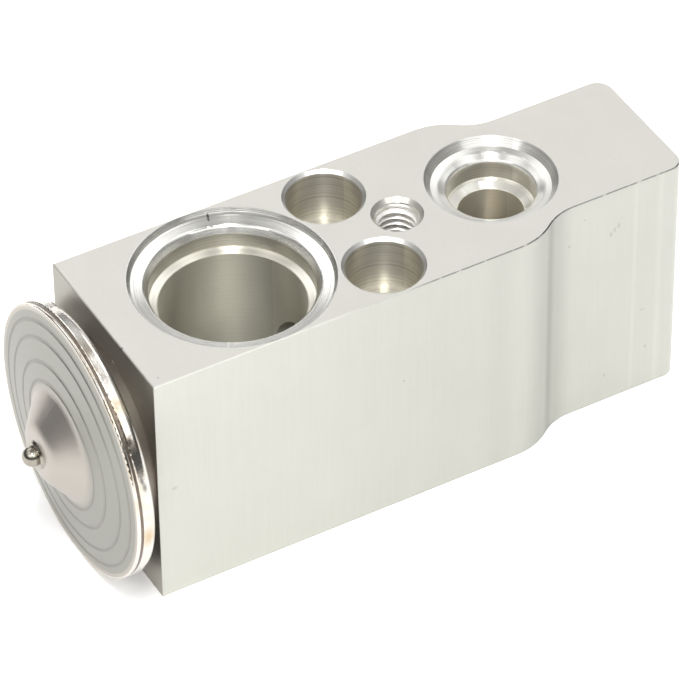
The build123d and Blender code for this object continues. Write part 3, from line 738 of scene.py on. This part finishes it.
# Turned brass, yellow with darker patches of about 2 mm where the oil has stood.
brass, brass_shader = new_finish("turned_brass", Metallic=1.0, Roughness=0.3)
brass_place = add_node(brass, "ShaderNodeTexCoord")
brass_film = add_node(
    brass, "ShaderNodeTexNoise", {"Scale": 500.0, "Detail": 4.0},
    {"Vector": brass_place.outputs["Object"]},
)
brass_colour = add_node(
    brass, "ShaderNodeMix", {"data_type": "RGBA", 6: linear("#B08A3E"), 7: linear("#D9B766")},
    {0: brass_film.outputs["Fac"]},
)
brass.node_tree.links.new(brass_colour.outputs[2], brass_shader.inputs["Base Color"])
dress(brass, "thrust_pad", "ball_carrier")


# Setting screw
# Turned from aluminium bar, with an M14 fine thread on its head, a seal groove, a spigot that
# centres the spring and an 8 mm hexagon socket with a drilled floor.

# Turned aluminium: rings a quarter of a millimetre apart, which fan the light across them.
screw_finish, screw_shader = new_finish(
    "turned_screw_aluminium", Metallic=1.0, Roughness=0.3, Anisotropic=0.7, Anisotropic_Rotation=0.25
)
screw_place = add_node(screw_finish, "ShaderNodeTexCoord")
screw_off = add_node(
    screw_finish, "ShaderNodeVectorMath", {"operation": "SUBTRACT", 1: (0, 0, stem_line / 1000)},
    {0: screw_place.outputs["Object"]},
)
screw_across = add_node(
    screw_finish, "ShaderNodeVectorMath", {"operation": "MULTIPLY", 1: (0, 1, 1)},
    {0: screw_off.outputs[0]},
)
screw_radius = add_node(
    screw_finish, "ShaderNodeVectorMath", {"operation": "LENGTH"}, {0: screw_across.outputs[0]}
)
screw_along = add_node(screw_finish, "ShaderNodeSeparateXYZ", links={0: screw_place.outputs["Object"]})
screw_run = add_node(
    screw_finish, "ShaderNodeMath", {"operation": "ADD"},
    {0: screw_radius.outputs["Value"], 1: screw_along.outputs["X"]},
)
screw_rings = add_node(
    screw_finish, "ShaderNodeTexNoise", {"noise_dimensions": "1D", "Scale": 4000.0, "Detail": 2.0},
    {"W": screw_run.outputs[0]},
)
screw_round = add_node(
    screw_finish, "ShaderNodeVectorMath", {"operation": "CROSS_PRODUCT", 0: (1, 0, 0)},
    {1: screw_across.outputs[0]},
)
screw_colour = add_node(
    screw_finish, "ShaderNodeMix", {"data_type": "RGBA", 6: linear("#D2CFC6"), 7: linear("#E6E4DC")},
    {0: screw_rings.outputs["Fac"]},
)
screw_bump = add_node(
    screw_finish, "ShaderNodeBump", {"Strength": 1.0, "Distance": 0.000006},
    {"Height": screw_rings.outputs["Fac"]},
)
screw_finish.node_tree.links.new(screw_colour.outputs[2], screw_shader.inputs["Base Color"])
screw_finish.node_tree.links.new(screw_round.outputs[0], screw_shader.inputs["Tangent"])
screw_finish.node_tree.links.new(screw_bump.outputs[0], screw_shader.inputs["Normal"])

# Places along the stem's line and radii in mm, from the spigot's tip to the socket's mouth. The
# thread runs in and out over run_in_length, where its crests drop by run_in_drop.
screw_tip = 28.95
screw_nose = 30.95
screw_nose_r = 5.95
groove_from = 32.3
groove_to = 34.6
groove_r = 4.6
thread_from = 35.95
thread_to = 43.5
screw_pitch = 1.0
screw_major = 6.95
screw_depth = 0.58
run_in_length = 0.8
run_in_drop = 0.45
screw_crest = 0.125
screw_root = 0.25
spigot_r = 2.8
spigot_chamfer = 0.3
nose_chamfer = 0.4
head_chamfer = 0.5
socket_flats = 8.0
socket_floor = 38.5
socket_chamfer = 0.35
drill_r = 3.6
drill_point = 1.6
end_gap = 0.1
around = 120
steps_a_turn = 16
angle = np.linspace(0, 2 * np.pi, around, endpoint=False)
round_row = np.ones(around)
hexagon = socket_flats / 2 / np.cos((angle + np.pi / 6) % (np.pi / 3) - np.pi / 6)
run_x = np.arange(thread_from + end_gap, thread_to - end_gap, screw_pitch / steps_a_turn)
run_in = np.clip((run_x - thread_from) / run_in_length, 0, 1)
run_in = (run_in * np.clip((thread_to - run_x) / run_in_length, 0, 1))[:, None]
form = thread_form(run_x[:, None] / screw_pitch - angle / (2 * np.pi), screw_crest, screw_root)
lead = screw_major - run_in_drop * (1 - run_in) - screw_depth * form * run_in
front_rows = np.array([
    (screw_tip, 0),
    (screw_tip, spigot_r - spigot_chamfer),
    (screw_tip + spigot_chamfer, spigot_r),
    (screw_nose, spigot_r),
    (screw_nose, screw_nose_r - nose_chamfer),
    (screw_nose + nose_chamfer, screw_nose_r),
    (groove_from, screw_nose_r),
    (groove_from, groove_r),
    (groove_to, groove_r),
    (groove_to, screw_nose_r),
    (thread_from, screw_nose_r),
])
back_x = np.array([
    thread_to, thread_to, thread_to - socket_chamfer, socket_floor, socket_floor,
    socket_floor - drill_point,
])
back_r = np.stack((
    round_row * (screw_major - head_chamfer), hexagon + socket_chamfer, hexagon, hexagon,
    round_row * drill_r, round_row * 0,
))
screw_piece = turned_piece(
    "setting_screw_threaded",
    np.concatenate((front_rows[:, 0], run_x, back_x)),
    np.concatenate((front_rows[:, 1:] * round_row, lead, back_r)),
    (0, 0, stem_line), "X", "setting_screw", screw_finish,
)
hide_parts("setting_screw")


# Thread in the block for the setting screw
# The matching M14 thread, tapped in the aluminium of the block's end. Its crests lie half a pitch
# from the screw's, and its first turns show round the screw.
bore_from = 35.2
bore_to = 44.3
bore_major = 7.04
bore_depth = 0.46
bore_crest = 0.12
bore_root = 0.26
bore_run_in = 0.7
bore_back = 0.05
bore_x = np.arange(bore_from, bore_to, screw_pitch / steps_a_turn)
bore_fade = np.clip((bore_to - bore_x) / bore_run_in, 0, 1)
bore_fade = (bore_fade * np.clip((bore_x - bore_from) / bore_run_in, 0, 1))[:, None]
bore_turns = bore_x[:, None] / screw_pitch - angle / (2 * np.pi) + 0.5
bore_form = thread_form(bore_turns, bore_crest, bore_root)
bore_inner = bore_major - bore_depth * (1 - bore_form) * bore_fade
turned_piece(
    "screw_bore_thread",
    np.concatenate((bore_x, [bore_x[-1], bore_x[0]])),
    np.concatenate((bore_inner, np.full((2, around), bore_major + bore_back))),
    (0, 0, stem_line), "X", "housing", tapped,
)


# Seal rings
# Three moulded rings: under the power head's hub, round the rod between suction and liquid, and in
# the setting screw's groove.

# Moulded rubber, matt black with a faint grey bloom in patches of about 1 mm.
rubber, rubber_shader = new_finish("moulded_rubber", Roughness=0.6)
rubber_place = add_node(rubber, "ShaderNodeTexCoord")
bloom = add_node(
    rubber, "ShaderNodeTexNoise", {"Scale": 900.0, "Detail": 3.0},
    {"Vector": rubber_place.outputs["Object"]},
)
rubber_colour = add_node(
    rubber, "ShaderNodeMix", {"data_type": "RGBA", 6: linear("#17181A"), 7: linear("#2A2B2D")},
    {0: bloom.outputs["Fac"]},
)
rubber.node_tree.links.new(rubber_colour.outputs[2], rubber_shader.inputs["Base Color"])
dress(rubber, "head_o_ring", "rod_o_ring", "screw_o_ring")


# Studio
# A white table, a soft sky that darkens to the horizon and overhead, and softboxes all round: two
# in front of the valve, a small strong one above them that reaches into the ports, and six more
# at the sides, above and behind.

# The table lies 0.02 mm under the valve, which keeps the two faces apart, and reaches 4 m each way.
table_top = -0.00002
table_reach = 4
corners = np.array([(-1, -1), (1, -1), (1, 1), (-1, 1)]) * table_reach
table_mesh = bpy.data.meshes.new("table")
table_mesh.from_pydata([(x, y, table_top) for x, y in corners.tolist()], [], [(0, 1, 2, 3)])
table = bpy.data.objects.new("table", table_mesh)
bpy.context.scene.collection.objects.link(table)

# White paper, quite matt. The camera, mirror-like metal and clear pieces see it lit a little more
# than it is, so that it looks white.
paper, paper_shader = new_finish("white_paper", Base_Color=linear("#FFFFFF"), Roughness=0.95)
paper_shader.inputs["Specular IOR Level"].default_value = 0.0
seen = add_node(paper, "ShaderNodeLightPath")
seen_either = add_node(
    paper, "ShaderNodeMath", {"operation": "MAXIMUM"},
    {0: seen.outputs["Is Camera Ray"], 1: seen.outputs["Is Glossy Ray"]},
)
seen_any = add_node(
    paper, "ShaderNodeMath", {"operation": "MAXIMUM"},
    {0: seen_either.outputs[0], 1: seen.outputs["Is Transmission Ray"]},
)
glow = add_node(paper, "ShaderNodeMath", {"operation": "MULTIPLY", 1: 0.24}, {0: seen_any.outputs[0]})
paper_shader.inputs["Emission Color"].default_value = linear("#FFFFFF")
paper.node_tree.links.new(glow.outputs[0], paper_shader.inputs["Emission Strength"])
table.data.materials.append(paper)

# The sky, by the height of each direction: dim at the horizon, brightest at 45 degrees, and less
# bright overhead.
world = bpy.data.worlds.new("studio")
bpy.context.scene.world = world
world.use_nodes = True
sky_place = add_node(world, "ShaderNodeTexCoord")
sky_height = add_node(world, "ShaderNodeSeparateXYZ", links={0: sky_place.outputs["Generated"]})
sky_light = add_node(
    world, "ShaderNodeMapRange", {"interpolation_type": "SMOOTHSTEP", 1: 0.3, 2: 0.71, 3: 0.05, 4: 0.62},
    {0: sky_height.outputs["Z"]},
)
sky_top = add_node(
    world, "ShaderNodeMapRange", {"interpolation_type": "SMOOTHSTEP", 1: 0.7, 2: 1.0, 3: 1.0, 4: 0.45},
    {0: sky_height.outputs["Z"]},
)
sky = add_node(
    world, "ShaderNodeMath", {"operation": "MULTIPLY"}, {0: sky_light.outputs[0], 1: sky_top.outputs[0]}
)
background = world.node_tree.nodes["Background"]
background.inputs["Color"].default_value = linear("#FFFFFF")
world.node_tree.links.new(sky.outputs[0], background.inputs["Strength"])

# Softboxes, all at one distance in metres: azimuth and elevation in degrees, width and height in
# metres, and brightness. A box's power is its brightness times pi times its area.
distance = 1.5
softboxes = (
    ("softbox_front_left", 211, 44, 1.0, 0.6, 2.3),
    ("softbox_front_right", 271, 44, 1.0, 0.6, 2.3),
    ("softbox_front_top", 241, 66, 0.22, 0.44, 24.0),
    ("softbox_top_right", 12, 66, 0.5, 0.35, 1.5),
    ("softbox_side_left", 160, 60, 0.7, 0.6, 1.2),
    ("softbox_side_right", 322, 60, 0.7, 0.6, 1.2),
    ("softbox_back_left", 95, 44, 0.9, 0.7, 1.45),
    ("softbox_back_right", 27, 44, 0.9, 0.7, 1.45),
    ("softbox_back_low", 61, 13, 1.6, 0.4, 1.4),
)
for name, azimuth, elevation, width, height, brightness in softboxes:
    lamp = bpy.data.lights.new(name, "AREA")
    lamp.shape = "RECTANGLE"
    lamp.size = width
    lamp.size_y = height
    lamp.energy = brightness * np.pi * width * height
    box = bpy.data.objects.new(name, lamp)
    bpy.context.scene.collection.objects.link(box)
    a, e = np.radians((azimuth, elevation))
    box.location = distance * Vector((np.cos(a) * np.cos(e), np.sin(a) * np.cos(e), np.sin(e)))
    box.rotation_euler = (-box.location).to_track_quat("-Z", "Y").to_euler()

# The camera stands where the photograph was taken: its place in metres, the way it looks, and which
# ways are right and up in the picture.
camera_place = Vector((-0.255837, -0.455300, 0.485401))
forward = Vector((0.362534, 0.650934, -0.666974))
right = Vector((0.869527, -0.493798, -0.009291))
up = Vector((0.335398, 0.576584, 0.745023))
camera_data = bpy.data.cameras.new("camera")
camera_data.lens = 277.461
camera_data.sensor_width = 36
camera_data.clip_start = 0.05
camera = bpy.data.objects.new("camera", camera_data)
bpy.context.scene.collection.objects.link(camera)
camera_turn = Matrix((right, up, -forward)).transposed()
camera.matrix_world = Matrix.Translation(camera_place) @ camera_turn.to_4x4()
bpy.context.scene.camera = camera
bpy.context.scene.view_settings.view_transform = "Standard"
